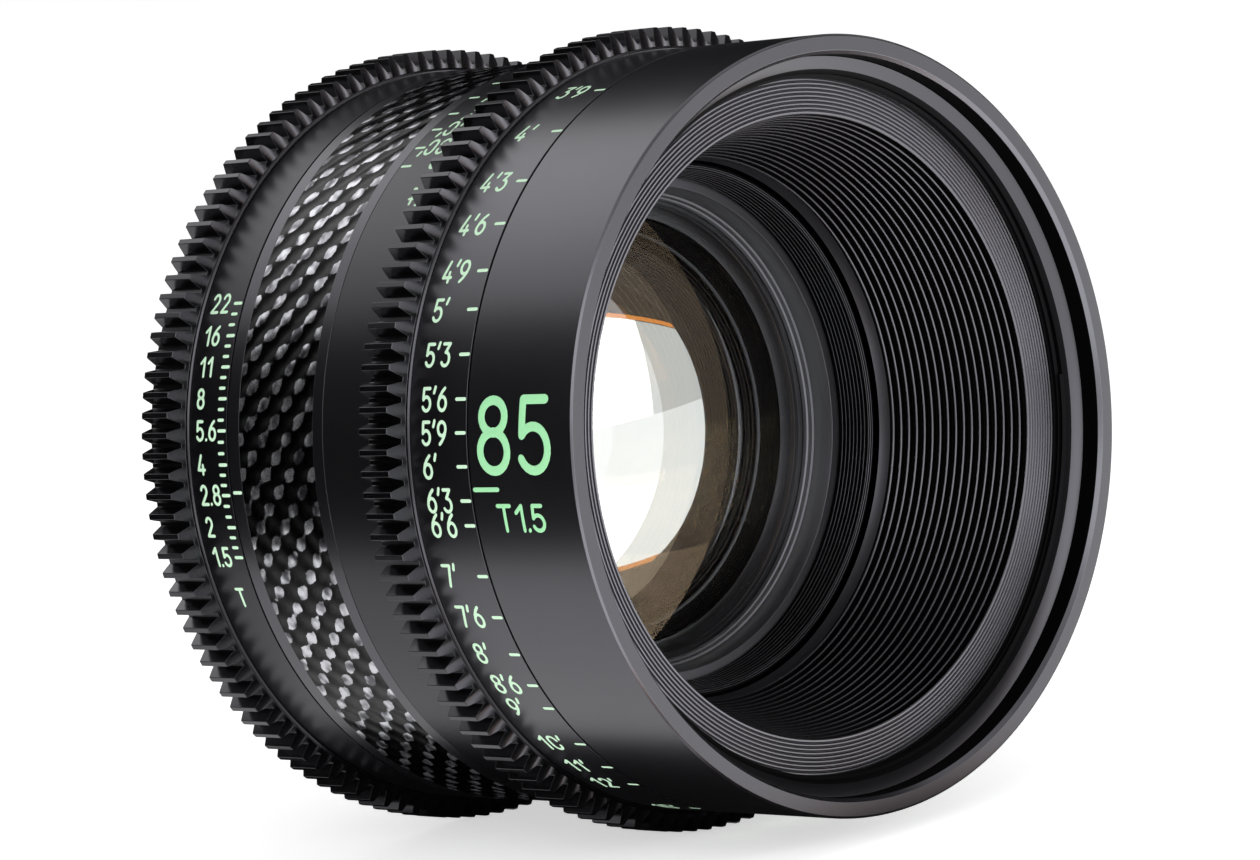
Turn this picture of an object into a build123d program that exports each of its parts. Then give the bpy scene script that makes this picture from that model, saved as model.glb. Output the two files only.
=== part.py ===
from build123d import *
import os
from math import atan2, cos, degrees, hypot, pi, radians, sin, sqrt, tan

# Cinema prime lens of 85 mm focal length. The optical axis is Y and the front looks along -Y.
# The origin is the centre of the camera flange's seat. Stations count from the front rim
# towards the camera. Angles count from the -X side, up towards +Z, which is a right-hand
# turn about +Y. The mechanism stands at T2.8 and a little over 6 feet.

# Lengths of the outer pieces along the axis, from the front to the camera
front_length = 17.6
turn_gap = 0.3
focus_scale_length = 9.9
gear_width = 6.4
focus_rear_length = 9.6
sleeve_end_length = 1.7
carbon_length = 14.1
index_length = 2.0
iris_scale_length = 7.1
rear_housing_length = 9.4
shim_thickness = 0.2
flange_thickness = 3.4

# Radii of the outer shell and the tubes under it
barrel_r = 47.5
shell_wall = 1.95
turning_wall = 1.92
core_wall = 2.9
carriage_wall = 3.2
fit_clearance = 0.05
running_clearance = 0.08
slide_gap = 0.3
edge_chamfer = 0.4

# Follow-focus gearing
gear_module = 0.8
gear_stand = 2.1
pressure_angle = 20
tooth_front_chamfer = 1.1
tooth_rear_chamfer = 0.3
dedendum_share = 1.25

# Front rim, filter thread and hood baffle
lip_width = 2.0
lip_bevel = 0.5
recess_depth = 2.9
recess_wall = 2.45
filter_ring_wall = 2.55
filter_lead_in = 0.95
filter_thread_length = 3.3
baffle_flange_thickness = 1.4
baffle_rim_width = 4.4
baffle_narrowing = 4.4
baffle_end_band = 1.2
baffle_wall = 1.5
baffle_steps = 18
baffle_step_depth = 0.45
core_lap_wall = 0.5
core_grip = 5.0

# Focus mechanism
focus_near_deg = 72
focus_far_deg = 128
focus_travel = 7.7
roller_r = 1.6
roller_root = 2.0
roller_setback = 3.2
roller_count = 3
roller_angle = 30
groove_depth = 1.4
groove_end_gap = 0.1
cam_tube_tail = 12.2

# Front cell, which the focus mechanism slides
funnel_air_gap = 0.35
funnel_lip_wall = 0.45
funnel_narrowing = 0.8
funnel_setback = 0.6
funnel_reach = 2.1
funnel_length = 4.8
funnel_shoulder = 3.0
collar_length = 2.3
carriage_tail = 6.6
cell_straight = 16.0
cell_tail_wall = 2.0
ring_front_gap = 0.2
retainer_rim = 1.4
retainer_overlap = 1.2
spacer_wall = 1.5

# Front optical group: edge step, air space in front and centre thickness of each element
element_1_step = 1.5
element_1_thickness = 8.0
element_2_gap = 0.5
element_2_step = 2.6
element_2_thickness = 6.5
element_3_gap = 0.6
element_3_step = 7.0
element_3_thickness = 2.7
group_iris_gap = 0.3

# Curve radii of the front faces and rear faces, as shares of each element's own radius
element_1_front_share = 2.157
element_1_rear_share = 5.88
element_2_front_share = 1.786
element_2_rear_share = 3.393
element_3_front_share = 3.571
element_3_rear_share = 1.905

# Iris
iris_setback = 3.65
iris_plate = 1.5
blade_reach = 10.5
iris_open_deg = 10
iris_close_deg = 30
blade_ratio = 0.9
blade_count = 11
blade_thickness = 0.12
blade_pitch = 0.25
blade_ear_overlap = 0.9
blade_sweep = 112
pivot_inset = 7.65
pivot_pin_r = 0.5
pivot_ear_r = 2.4
lever_length = 6.0
lever_angle = 72
lever_width = 2.0
follower_r = 0.5
stack_gap = 0.2
cam_ring_thickness = 2.0
cam_ring_wall = 1.6
iris_wall = 1.9
iris_wall_end_gap = 1.4
iris_rear_thickness = 1.1
iris_retainer_length = 1.1
iris_retainer_wall = 3.4
drive_pin_r = 0.8
drive_pin_angle = 150
drive_pin_grip = 1.2
drive_slot_gap = 0.4

# Rear optical group and its cell, which passes through the spigot
rear_cell_gap = 0.1
rear_cell_wall = 4.6
rear_edge_gap = 1.06
element_4_thickness = 2.0
cement_gap = 0.02
element_5_thickness = 7.2
element_6_gap = 0.6
element_6_step = 1.0
element_6_thickness = 6.2
element_7_gap = 1.4
element_7_step = 1.0
element_7_thickness = 2.2
element_4_front_share = -1.9
element_4_rear_share = 3.0
element_5_rear_share = -3.5
element_6_front_share = 2.74
element_6_rear_share = -4.74
element_7_front_share = -3.33
element_7_rear_share = -8.9
rear_cell_flange = 2.1
rear_cell_overhang = 2.0
core_shoulder_width = 1.6
core_shoulder_length = 2.0

# Camera mount with four bayonet tabs
core_tail = 3.0
housing_inset = 1.5
housing_straight = 1.8
housing_rim = 4.2
housing_relief = 0.4
housing_lip = 2.4
spigot_r = 27.0
spigot_wall = 2.3
spigot_length = 7.5
spigot_root_step = 0.6
spigot_collar_width = 2.4
spigot_collar_length = 1.4
flange_rim = 2.9
tab_depth = 3.8
tab_gap_deg = 32
tab_count = 4
tab_notch_width = 4.2
tab_notch_depth = 2.4

# Stations and radii that follow from the sizes above
focus_start = front_length + turn_gap
focus_gear_start = focus_start + focus_scale_length
focus_rear_start = focus_gear_start + gear_width
focus_end = focus_rear_start + focus_rear_length
sleeve_start = focus_end + turn_gap
carbon_start = sleeve_start + sleeve_end_length
index_start = carbon_start + carbon_length
index_end = index_start + index_length
iris_ring_start = index_end + turn_gap
iris_gear_start = iris_ring_start + iris_scale_length
iris_ring_end = iris_gear_start + gear_width
housing_start = iris_ring_end + turn_gap
housing_end = housing_start + rear_housing_length
flange_start = housing_end + shim_thickness
lens_length = flange_start + flange_thickness

shell_bore_r = barrel_r - shell_wall
turning_r = shell_bore_r - fit_clearance
turning_bore_r = turning_r - turning_wall
core_r = turning_bore_r - running_clearance
core_bore_r = core_r - core_wall
carriage_r = core_bore_r - running_clearance
carriage_bore_r = carriage_r - carriage_wall
cell_r = carriage_bore_r - fit_clearance
core_seat_r = core_r + fit_clearance
gear_teeth = round(2 * (barrel_r + gear_stand) / gear_module)
pitch_r = gear_module * gear_teeth / 2
tip_r = pitch_r + gear_module
root_r = pitch_r - gear_module * dedendum_share
near_travel = focus_travel * focus_near_deg / (focus_near_deg + focus_far_deg)
far_travel = focus_travel * focus_far_deg / (focus_near_deg + focus_far_deg)
core_start = front_length - core_grip
roller_station = focus_end + roller_setback

recess_r = barrel_r - recess_wall
filter_thread_r = recess_r - filter_ring_wall
baffle_mouth_r = filter_thread_r - baffle_rim_width
baffle_end_r = baffle_mouth_r - baffle_narrowing
funnel_outer_r = baffle_end_r - funnel_air_gap
funnel_mouth_r = funnel_outer_r - funnel_lip_wall
funnel_throat_r = funnel_mouth_r - funnel_narrowing
element_1_r = funnel_throat_r - element_1_step
element_2_r = element_1_r - element_2_step
element_3_r = element_2_r - element_3_step
retainer_mouth_r = funnel_throat_r - retainer_rim
retainer_contact_r = element_1_r - retainer_overlap

iris_wall_r = core_bore_r - fit_clearance
pivot_circle_r = iris_wall_r - iris_wall - pivot_inset
iris_opening_r = pivot_circle_r - blade_reach
blade_width = blade_reach - pivot_ear_r + blade_ear_overlap
cam_ring_middle = iris_ring_start + iris_setback
cam_ring_start = cam_ring_middle - cam_ring_thickness / 2
cam_ring_end = cam_ring_middle + cam_ring_thickness / 2
blade_stack_end = cam_ring_start - stack_gap
blade_stack_start = blade_stack_end - blade_pitch * blade_count
iris_station = blade_stack_start - stack_gap - iris_plate
iris_end = cam_ring_end + iris_wall_end_gap
rear_cell_start = iris_end

spigot_start = housing_end - housing_lip - spigot_collar_length
spigot_root_r = spigot_r + spigot_root_step
spigot_collar_r = spigot_root_r + spigot_collar_width
tab_root_r = spigot_root_r + flange_rim
tab_r = tab_root_r + tab_depth
housing_front_r = barrel_r - housing_inset
housing_rear_r = tab_r + housing_rim
housing_bore_r = core_bore_r + housing_relief
rear_cell_r = spigot_r - spigot_wall - rear_cell_gap
element_4_r = rear_cell_r - rear_cell_wall
element_6_r = element_4_r - element_6_step
element_7_r = element_6_r - element_7_step

element_1_front_curve = element_1_r * element_1_front_share
element_1_rear_curve = element_1_r * element_1_rear_share
element_2_front_curve = element_2_r * element_2_front_share
element_2_rear_curve = element_2_r * element_2_rear_share
element_3_front_curve = element_3_r * element_3_front_share
element_3_rear_curve = element_3_r * element_3_rear_share
element_4_front_curve = element_4_r * element_4_front_share
element_4_rear_curve = element_4_r * element_4_rear_share
element_5_rear_curve = element_4_r * element_5_rear_share
element_6_front_curve = element_6_r * element_6_front_share
element_6_rear_curve = element_6_r * element_6_rear_share
element_7_front_curve = element_7_r * element_7_front_share
element_7_rear_curve = element_7_r * element_7_rear_share


def turned(*outline):
    """A solid of revolution about the optical axis from (radius, station) points."""
    points = [(radius, station - lens_length) for radius, station in outline]
    return revolve(make_face(Polyline(*points, close=True)), Axis.Y)


def tube(bore, outer, start, end):
    """A plain ring between two radii and two stations."""
    return turned((bore, start), (outer, start), (outer, end), (bore, end))


def across(station):
    """The plane square to the axis, whose own x is at angle 0 and whose normal is +Y."""
    return Plane(origin=(0, station - lens_length, 0), x_dir=(-1, 0, 0), z_dir=(0, 1, 0))


def radial(angle, radius, station):
    """A plane at a point of the barrel that looks outwards, with its own x along +Y."""
    outward = (-cos(radians(angle)), 0, sin(radians(angle)))
    spot = (radius * outward[0], station - lens_length, radius * outward[2])
    return Plane(origin=spot, x_dir=(0, 1, 0), z_dir=outward)


def radial_pin(pin_r, inner, outer, angle, station):
    """A round pin that stands along a radius of the lens."""
    return radial(angle, inner, station) * extrude(Circle(pin_r), outer - inner)


def arc_cut(inner, outer, start, end, first, last):
    """A ring sector for cutting a slot round the barrel between two angles."""
    base = start - lens_length, end - lens_length
    outline = Polyline((inner, base[0]), (outer, base[0]), (outer, base[1]), (inner, base[1]), close=True)
    sector = revolve(make_face(outline), Axis.Y, last - first)
    return Rot(0, first - 180, 0) * sector


def sag(curve, radius):
    """How far a spherical face of this curve has moved along the axis at a radius."""
    depth = abs(curve) - sqrt(curve * curve - radius * radius)
    return depth if curve > 0 else -depth


def seat_station(vertex, curve, edge_r, bore_r):
    """Station of the flat shoulder on which a rear face rests, at its edge or at the bore."""
    return vertex + max(sag(curve, edge_r), sag(curve, bore_r))


def lens_element(radius, vertex, thickness, front_curve, rear_curve):
    """One glass element between two spherical faces with a ground edge."""
    front = vertex - lens_length
    rear = front + thickness
    half = radius / 2
    edge_front = (radius, front + sag(front_curve, radius))
    edge_rear = (radius, rear + sag(rear_curve, radius))
    outline = [
        ThreePointArc((0, front), (half, front + sag(front_curve, half)), edge_front),
        Line(edge_front, edge_rear),
        ThreePointArc(edge_rear, (half, rear + sag(rear_curve, half)), (0, rear)),
        Line((0, rear), (0, front)),
    ]
    return revolve(make_face(outline), Axis.Y)


# Stations of the front group, counted forwards from where it would meet the iris at infinity
element_3_back = iris_station - far_travel - group_iris_gap
element_3_station = element_3_back - sag(element_3_rear_curve, element_3_r) - element_3_thickness
element_2_station = element_3_station - element_3_gap - element_2_thickness
element_1_station = element_2_station - element_2_gap - element_1_thickness
element_2_back = seat_station(
    element_2_station + element_2_thickness, element_2_rear_curve, element_2_r, element_3_r
)
element_1_back = seat_station(
    element_1_station + element_1_thickness, element_1_rear_curve, element_1_r, element_2_r
)
funnel_start = element_1_station - funnel_reach
carriage_start = funnel_start + funnel_shoulder + collar_length
baffle_start = recess_depth + filter_thread_length
baffle_end = funnel_start - funnel_setback

# Stations of the rear group, each element worked out from the one in front of it
element_4_station = rear_cell_start + rear_edge_gap - sag(element_4_front_curve, element_4_r)
element_5_station = element_4_station + element_4_thickness + cement_gap
element_6_station = element_5_station + element_5_thickness + element_6_gap
element_7_station = element_6_station + element_6_thickness + element_7_gap
element_5_back = seat_station(
    element_5_station + element_5_thickness, element_5_rear_curve, element_4_r, element_6_r
)
element_6_back = seat_station(
    element_6_station + element_6_thickness, element_6_rear_curve, element_6_r, element_7_r
)
element_7_back = seat_station(
    element_7_station + element_7_thickness, element_7_rear_curve, element_7_r, element_7_r
)


# Fixed barrel
def front_barrel():
    """Outer front barrel with the flat lip, the recess and the seat on the core tube."""
    shoulder = baffle_start + baffle_flange_thickness
    return turned(
        (barrel_r - edge_chamfer, 0),
        (barrel_r, edge_chamfer),
        (barrel_r, front_length - edge_chamfer),
        (barrel_r - edge_chamfer, front_length),
        (core_seat_r, front_length),
        (core_seat_r, core_start),
        (core_seat_r + core_lap_wall, core_start),
        (core_seat_r + core_lap_wall, shoulder),
        (recess_r, shoulder),
        (recess_r, lip_bevel),
        (barrel_r - lip_width, 0),
    )


def filter_ring():
    """Threaded front ring: a flat step, a lead-in and the filter thread's wall."""
    outer = recess_r - fit_clearance
    return turned(
        (filter_thread_r + filter_lead_in, recess_depth),
        (outer, recess_depth),
        (outer, baffle_start),
        (filter_thread_r, baffle_start),
        (filter_thread_r, recess_depth + filter_lead_in),
    )


def hood_baffle():
    """Conical stray-light baffle whose inner wall is cut in steps."""
    step = (baffle_end - baffle_end_band - baffle_start) / baffle_steps
    narrowing = baffle_narrowing / baffle_steps
    wall_r = baffle_mouth_r + baffle_wall + baffle_step_depth
    tail_r = baffle_end_r + baffle_wall
    outline = [
        (recess_r - fit_clearance, baffle_start),
        (recess_r - fit_clearance, baffle_start + baffle_flange_thickness),
        (wall_r, baffle_start + baffle_flange_thickness),
        (tail_r, baffle_end - baffle_end_band),
        (tail_r, baffle_end),
        (baffle_end_r, baffle_end),
        (baffle_end_r, baffle_end - baffle_end_band),
    ]
    for index in reversed(range(baffle_steps)):
        crest_r = baffle_mouth_r - narrowing * index
        front = baffle_start + step * index
        outline.append((crest_r - narrowing + baffle_step_depth, front + step))
        outline.append((crest_r, front))
    return turned(*outline)


def core_barrel():
    """Fixed tube that everything turns or slides on, with the roller slots and the iris slot."""
    shoulder = rear_cell_start + rear_cell_flange
    shoulder_r = core_bore_r - core_shoulder_width
    body = turned(
        (core_bore_r, core_start),
        (core_r, core_start),
        (core_r, housing_start + core_tail),
        (core_bore_r, housing_start + core_tail),
        (core_bore_r, shoulder + core_shoulder_length),
        (shoulder_r, shoulder + core_shoulder_length),
        (shoulder_r, shoulder),
        (core_bore_r, shoulder),
    )
    slot_width = 2 * (roller_r + fit_clearance)
    slot_length = focus_travel + slot_width + 2 * slide_gap
    middle = roller_station + (far_travel - near_travel) / 2
    depth = core_wall + 2 * slide_gap
    slot = extrude(SlotOverall(slot_length, slot_width), depth)
    for index in range(roller_count):
        angle = roller_angle + 360 / roller_count * index
        body -= radial(angle, core_bore_r - slide_gap, middle) * slot
    return body - drive_slot(core_bore_r - slide_gap, core_r + slide_gap)


def drive_slot(inner, outer):
    """The arc that the iris drive pin sweeps, with room round it."""
    half = drive_pin_r + drive_slot_gap
    margin = degrees((drive_pin_r + drive_slot_gap) / inner)
    first = drive_pin_angle - iris_close_deg - margin
    last = drive_pin_angle + iris_open_deg + margin
    return arc_cut(inner, outer, cam_ring_middle - half, cam_ring_middle + half, first, last)


def index_ring():
    """Narrow fixed ring with the iris index, and the seat that carries the sleeve."""
    tail_start = focus_end + cam_tube_tail + turn_gap
    seat_r = turning_r + running_clearance + slide_gap
    return turned(
        (core_seat_r, tail_start),
        (seat_r, tail_start),
        (seat_r, index_start),
        (barrel_r, index_start),
        (barrel_r, index_end - edge_chamfer),
        (barrel_r - edge_chamfer, index_end),
        (core_seat_r, index_end),
    )


def carbon_sleeve():
    """Woven composite band between the two turning rings."""
    bore = turning_r + running_clearance + slide_gap + fit_clearance
    return tube(bore, barrel_r - running_clearance, carbon_start, index_start)


def sleeve_end_ring():
    """Bevelled metal ring that ends the composite band behind the focus ring."""
    bore = turning_r + running_clearance + slide_gap + fit_clearance
    return turned(
        (bore, sleeve_start),
        (barrel_r - edge_chamfer, sleeve_start),
        (barrel_r, sleeve_start + edge_chamfer),
        (barrel_r, carbon_start),
        (bore, carbon_start),
    )


# Focus ring
def gear_outline():
    """Involute teeth of the standard follow-focus module, as one closed outline."""
    base_r = pitch_r * cos(radians(pressure_angle))

    def involute(angle_cos):
        slope = sqrt(1 / (angle_cos * angle_cos) - 1)
        return slope - atan2(slope, 1)

    def half_angle(radius):
        return pi / (2 * gear_teeth) + involute(base_r / pitch_r) - involute(base_r / radius)

    root_half = half_angle(root_r)
    tip_half = half_angle(tip_r)
    points = []
    for tooth in range(gear_teeth):
        middle = 2 * pi * tooth / gear_teeth
        for radius, turn in ((root_r, -root_half), (tip_r, -tip_half), (tip_r, tip_half), (root_r, root_half)):
            points.append((radius * cos(middle + turn), radius * sin(middle + turn)))
    return make_face(Polyline(*points, close=True))


def gear_ring(start):
    """Toothed ring whose teeth are bevelled on the side that faces the front."""
    blank = across(start) * extrude(gear_outline() - Circle(shell_bore_r), gear_width)
    bevelled = turned(
        (0, start),
        (tip_r - tooth_front_chamfer, start),
        (tip_r, start + tooth_front_chamfer),
        (tip_r, start + gear_width - tooth_rear_chamfer),
        (tip_r - tooth_rear_chamfer, start + gear_width),
        (0, start + gear_width),
    )
    return blank & bevelled


def focus_scale_ring():
    """Front part of the focus ring, which carries the distance scale."""
    return turned(
        (shell_bore_r, focus_start),
        (barrel_r - edge_chamfer, focus_start),
        (barrel_r, focus_start + edge_chamfer),
        (barrel_r, focus_gear_start),
        (shell_bore_r, focus_gear_start),
    )


def focus_rear_sleeve():
    """Smooth part of the focus ring behind its gear, with the second scale."""
    return turned(
        (shell_bore_r, focus_rear_start),
        (barrel_r, focus_rear_start),
        (barrel_r, focus_end - edge_chamfer),
        (barrel_r - edge_chamfer, focus_end),
        (shell_bore_r, focus_end),
    )


def focus_cam_tube():
    """Tube under the focus ring with a helical groove for each roller on its inner wall."""
    body = tube(turning_bore_r, turning_r, focus_start, focus_end + cam_tube_tail)
    lead = focus_travel * 360 / (focus_near_deg + focus_far_deg)
    middle_r = turning_bore_r + groove_depth / 2
    margin = degrees((roller_r + groove_end_gap) / turning_bore_r)
    turn = focus_near_deg + focus_far_deg + 2 * margin
    start = roller_station - near_travel - lead * margin / 360
    path = Helix(lead, lead * turn / 360, middle_r, lefthand=True)
    section = Plane(origin=path @ 0, x_dir=(1, 0, 0), z_dir=path % 0)
    profile = section * Rectangle(2 * groove_depth, 2 * (roller_r + fit_clearance))
    groove = sweep(profile, path, is_frenet=True)
    inside = tube(turning_bore_r - groove_depth, turning_bore_r + groove_depth, 0, lens_length)
    for index in range(roller_count):
        angle = roller_angle + focus_near_deg + margin + 360 / roller_count * index
        body -= (across(start) * Rot(0, 0, angle) * groove) & inside
    return body


# Focus carriage with the front optical group
def focus_carriage():
    """Sliding tube in the core, with a hole for each roller."""
    body = tube(carriage_bore_r, carriage_r, carriage_start, roller_station + carriage_tail)
    for index in range(roller_count):
        angle = roller_angle + 360 / roller_count * index
        inner = carriage_r - roller_root - fit_clearance
        body -= radial_pin(roller_r + fit_clearance, inner, carriage_r + slide_gap, angle, roller_station)
    return body


def focus_roller(index):
    """Roller pin that crosses the core's straight slot into the helical groove."""
    angle = roller_angle + 360 / roller_count * index
    outer = turning_bore_r + groove_depth - 4 * fit_clearance
    return radial_pin(roller_r, carriage_r - roller_root, outer, angle, roller_station)


def front_cell():
    """Cell of the front group, with the ribbed funnel in front and a collar on the carriage."""
    throat = funnel_start + funnel_length
    collar = funnel_start + funnel_shoulder
    ring_end = element_1_station + sag(element_1_front_curve, retainer_contact_r)
    tail = element_3_back
    tail_r = element_3_r + cell_tail_wall
    return turned(
        (funnel_mouth_r, funnel_start),
        (funnel_outer_r, funnel_start),
        (funnel_outer_r, collar),
        (carriage_r - slide_gap, collar),
        (carriage_r - slide_gap, carriage_start),
        (cell_r, carriage_start),
        (cell_r, carriage_start + cell_straight),
        (tail_r, tail),
        (element_3_r + fit_clearance, tail),
        (element_3_r + fit_clearance, element_2_back + fit_clearance),
        (element_2_r + fit_clearance, element_2_back + fit_clearance),
        (element_2_r + fit_clearance, element_1_back + fit_clearance),
        (element_1_r + fit_clearance, element_1_back + fit_clearance),
        (element_1_r + fit_clearance, ring_end),
        (funnel_throat_r, ring_end),
        (funnel_throat_r, throat),
    )


def front_retaining_ring():
    """Ring that holds the front element, with a conical mouth."""
    start = funnel_start + funnel_length + ring_front_gap
    end = element_1_station + sag(element_1_front_curve, retainer_contact_r) - fit_clearance
    return turned(
        (retainer_mouth_r, start),
        (funnel_throat_r - fit_clearance, start),
        (funnel_throat_r - fit_clearance, end),
        (retainer_contact_r, end),
    )


def element_spacer():
    """Ring between the first two elements."""
    bore = element_2_r - spacer_wall
    front = element_1_back + fit_clearance
    rear = element_2_station + sag(element_2_front_curve, bore) - fit_clearance
    return tube(bore, element_2_r, front, rear)


# Iris
def iris_housing():
    """Cup that holds the blades, with their pivot pins and the slot for the drive pin."""
    wall_bore = iris_wall_r - iris_wall
    floor_end = iris_station + iris_plate
    body = turned(
        (iris_opening_r, iris_station),
        (iris_wall_r, iris_station),
        (iris_wall_r, iris_end),
        (wall_bore, iris_end),
        (wall_bore, floor_end),
        (iris_opening_r, floor_end),
    )
    pin = extrude(Circle(pivot_pin_r), blade_stack_end - floor_end + stack_gap / 2)
    for index in range(blade_count):
        body += across(floor_end) * Rot(0, 0, 360 / blade_count * index) * Pos(pivot_circle_r, 0) * pin
    return body - drive_slot(wall_bore - slide_gap, iris_wall_r + slide_gap)


def blade_turn(ring_angle):
    """Angle of a blade from fully open for a turn of the iris ring from its rest."""
    return blade_ratio * (ring_angle - iris_open_deg)


def follower_place(ring_angle):
    """Radius and angle of a blade's follower, seen from the axis, for a ring angle."""
    lever = radians(lever_angle + blade_turn(ring_angle))
    along = pivot_circle_r + lever_length * cos(lever)
    aside = lever_length * sin(lever)
    return hypot(along, aside), atan2(aside, along)


def iris_blade(index):
    """Crescent blade on its own level, with the lever and the pin that the cam ring drives."""
    inner = iris_opening_r
    outer = iris_opening_r + blade_width
    ear = degrees(pivot_ear_r / pivot_circle_r)
    start, end = radians(ear), radians(-blade_sweep)
    middle = (start + end) / 2
    arcs = [
        ThreePointArc(*[(inner * cos(a), inner * sin(a)) for a in (start, middle, end)]),
        Line((inner * cos(end), inner * sin(end)), (outer * cos(end), outer * sin(end))),
        ThreePointArc(*[(outer * cos(a), outer * sin(a)) for a in (end, middle, start)]),
        Line((outer * cos(start), outer * sin(start)), (inner * cos(start), inner * sin(start))),
    ]
    pivot = Pos(pivot_circle_r, 0)
    lever = pivot * Rot(0, 0, lever_angle) * Pos(lever_length / 2, 0) * Rectangle(lever_length, lever_width)
    follower = pivot * Rot(0, 0, lever_angle) * Pos(lever_length, 0)
    plate = make_face(arcs) + pivot * Circle(pivot_ear_r) + lever + follower * Circle(lever_width / 2)
    plate -= pivot * Circle(pivot_pin_r + fit_clearance)
    level = blade_stack_start + blade_pitch * index
    reach = cam_ring_end - level
    blade = extrude(plate, blade_thickness) + follower * extrude(Circle(follower_r), reach)
    turn = pivot * Rot(0, 0, blade_turn(0)) * pivot.inverse()
    return across(level) * Rot(0, 0, 360 / blade_count * index) * turn * blade


def cam_slot():
    """Slot that turns a blade by the blade ratio, traced from the follower's places."""
    half = follower_r + fit_clearance
    steps = 8
    path = []
    for step in range(steps + 1):
        ring_angle = -iris_close_deg + (iris_close_deg + iris_open_deg) * step / steps
        radius, angle = follower_place(ring_angle)
        angle -= radians(ring_angle)
        path.append((radius * cos(angle), radius * sin(angle)))
    spine = Spline(*path)
    sides = [[], []]
    for step in range(steps + 1):
        place = spine @ (step / steps)
        along = spine % (step / steps)
        for side, sign in zip(sides, (half, -half)):
            side.append((place.X - along.Y * sign, place.Y + along.X * sign))
    left, right = sides
    outline = [Spline(*left), Line(left[-1], right[-1]), Spline(*right), Line(left[0], right[0])]
    return make_face(outline) + Pos(*path[0]) * Circle(half) + Pos(*path[-1]) * Circle(half)


def iris_cam_ring():
    """Ring behind the blades with a curved slot for each follower and a hole for the drive pin."""
    open_r = follower_place(iris_open_deg)[0]
    closed_r = follower_place(-iris_close_deg)[0]
    inner = min(open_r, closed_r) - follower_r - fit_clearance - cam_ring_wall
    outer = max(open_r, closed_r) + follower_r + fit_clearance + cam_ring_wall
    face = Circle(outer) - Circle(inner)
    slot = cam_slot()
    for index in range(blade_count):
        face -= Rot(0, 0, 360 / blade_count * index) * slot
    body = across(cam_ring_start) * extrude(face, cam_ring_thickness)
    inner_end = outer - drive_pin_grip
    hole = radial_pin(drive_pin_r + fit_clearance, inner_end, outer + slide_gap, drive_pin_angle, cam_ring_middle)
    return body - hole


def iris_drive_pin():
    """Pin that ties the outer iris ring to the cam ring through the core's slot."""
    open_r = follower_place(iris_open_deg)[0]
    closed_r = follower_place(-iris_close_deg)[0]
    outer = max(open_r, closed_r) + follower_r + fit_clearance + cam_ring_wall
    inner = outer - drive_pin_grip + fit_clearance
    return radial_pin(drive_pin_r, inner, turning_r - fit_clearance, drive_pin_angle, cam_ring_middle)


def iris_rear_plate():
    """Plate that closes the iris behind the cam ring."""
    return tube(iris_opening_r, iris_wall_r - iris_wall - fit_clearance, iris_end - iris_rear_thickness, iris_end)


def iris_retainer():
    """Threaded ring in the core that holds the iris cup."""
    outer = iris_wall_r
    return tube(outer - iris_retainer_wall, outer, iris_station - iris_retainer_length, iris_station)


def iris_carrier():
    """Tube that turns on the core and carries the iris scale and gear."""
    body = tube(turning_bore_r, turning_r, iris_ring_start, iris_ring_end)
    hole_r = drive_pin_r + fit_clearance
    hole = radial_pin(hole_r, core_r, turning_r + slide_gap, drive_pin_angle, cam_ring_middle)
    return body - hole


def iris_scale_ring():
    """Ring with the T-stop scale."""
    return turned(
        (shell_bore_r, iris_ring_start),
        (barrel_r - edge_chamfer, iris_ring_start),
        (barrel_r, iris_ring_start + edge_chamfer),
        (barrel_r, iris_gear_start),
        (shell_bore_r, iris_gear_start),
    )


# Rear group and camera mount
def rear_cell():
    """Cell of the rear group with the flange that seats on the core's shoulder."""
    end = element_7_back + rear_cell_overhang
    return turned(
        (element_4_r + fit_clearance, rear_cell_start),
        (iris_wall_r, rear_cell_start),
        (iris_wall_r, rear_cell_start + rear_cell_flange),
        (rear_cell_r, rear_cell_start + rear_cell_flange),
        (rear_cell_r, end),
        (element_7_r + fit_clearance, end),
        (element_7_r + fit_clearance, element_6_back + fit_clearance),
        (element_6_r + fit_clearance, element_6_back + fit_clearance),
        (element_6_r + fit_clearance, element_5_back + fit_clearance),
        (element_4_r + fit_clearance, element_5_back + fit_clearance),
    )


def rear_housing():
    """Tapered rear shell that carries the mount on the end of the core."""
    core_end = housing_start + core_tail
    lip = housing_end - housing_lip
    return turned(
        (core_seat_r, housing_start),
        (housing_front_r, housing_start),
        (housing_front_r, housing_start + housing_straight),
        (housing_rear_r, housing_end),
        (spigot_root_r + fit_clearance, housing_end),
        (spigot_root_r + fit_clearance, lip),
        (housing_bore_r, lip),
        (housing_bore_r, core_end),
        (core_seat_r, core_end),
    )


def mount_shim():
    """Thin shim that sets the flange distance."""
    return tube(spigot_root_r + fit_clearance, tab_root_r, housing_end, flange_start)


def mount_flange():
    """Bayonet flange with four tabs, each with a locating notch; its rear face is the seat."""
    face = Circle(tab_r) - Circle(spigot_root_r + fit_clearance)
    gap_width = 2 * tab_r * sin(radians(tab_gap_deg / 2))
    gap_length = tab_r - tab_root_r
    gap = Pos(tab_root_r + gap_length, 0) * Rectangle(2 * gap_length, gap_width)
    notch = Pos(tab_r, 0) * Rectangle(2 * tab_notch_depth, tab_notch_width)
    for index in range(tab_count):
        turn = 360 / tab_count * index
        face -= Rot(0, 0, turn) * gap
        face -= Rot(0, 0, turn + 180 / tab_count) * notch
    return across(flange_start) * extrude(face, flange_thickness)


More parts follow.
